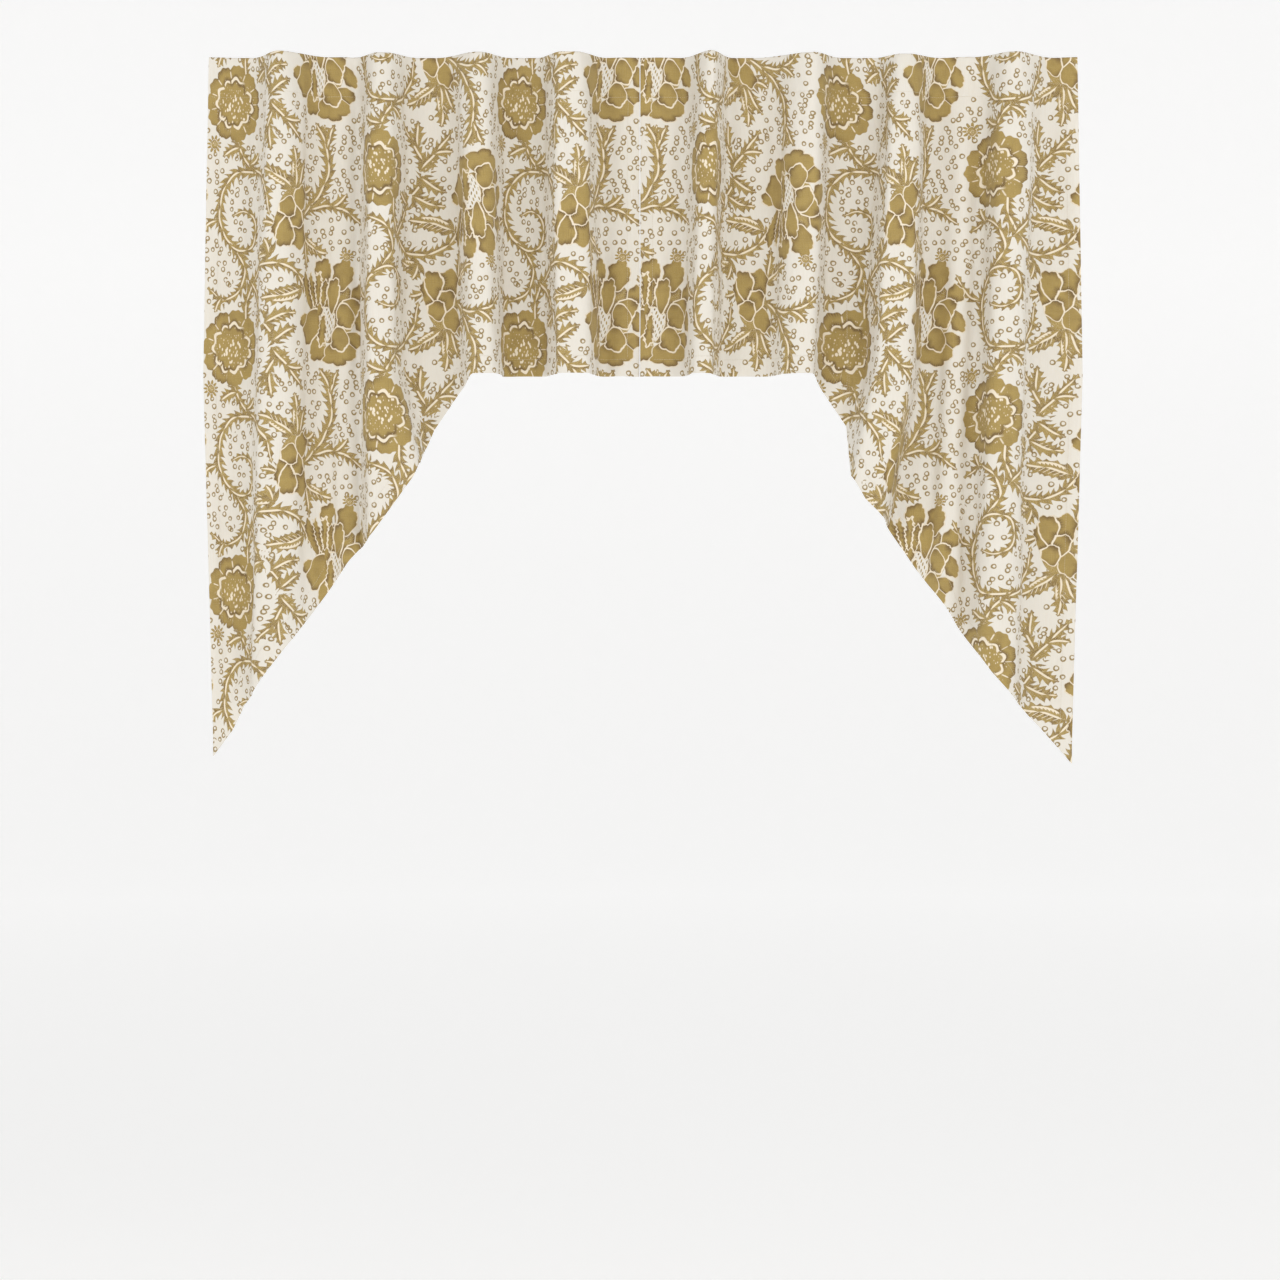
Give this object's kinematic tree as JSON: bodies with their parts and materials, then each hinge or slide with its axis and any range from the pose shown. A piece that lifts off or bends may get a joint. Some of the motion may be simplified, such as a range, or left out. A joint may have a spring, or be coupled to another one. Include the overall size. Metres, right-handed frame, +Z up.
{
  "type": "swag and tail drape",
  "caption": "Pair of shaped cotton drape panels in soft gathered folds, short in the middle with a pointed tail at each side.",
  "frame": {"origin": "middle of the top edge, where the inner edges of the two panels meet", "axes": "+X to the right as a viewer in the room sees it, +Y away from the viewer towards the window, +Z up"},
  "size_m": [1.152, 0.0644, 0.9262],
  "materials": {
    "cotton_left": "matt plain-woven cotton, printed with ochre flowers and vines on off-white",
    "cotton_right": "matt plain-woven cotton, printed with ochre flowers and vines on off-white"
  },
  "bodies": {
    "root": {"panel_left": "cotton_left", "panel_right": "cotton_right"}
  },
  "joints": []
}
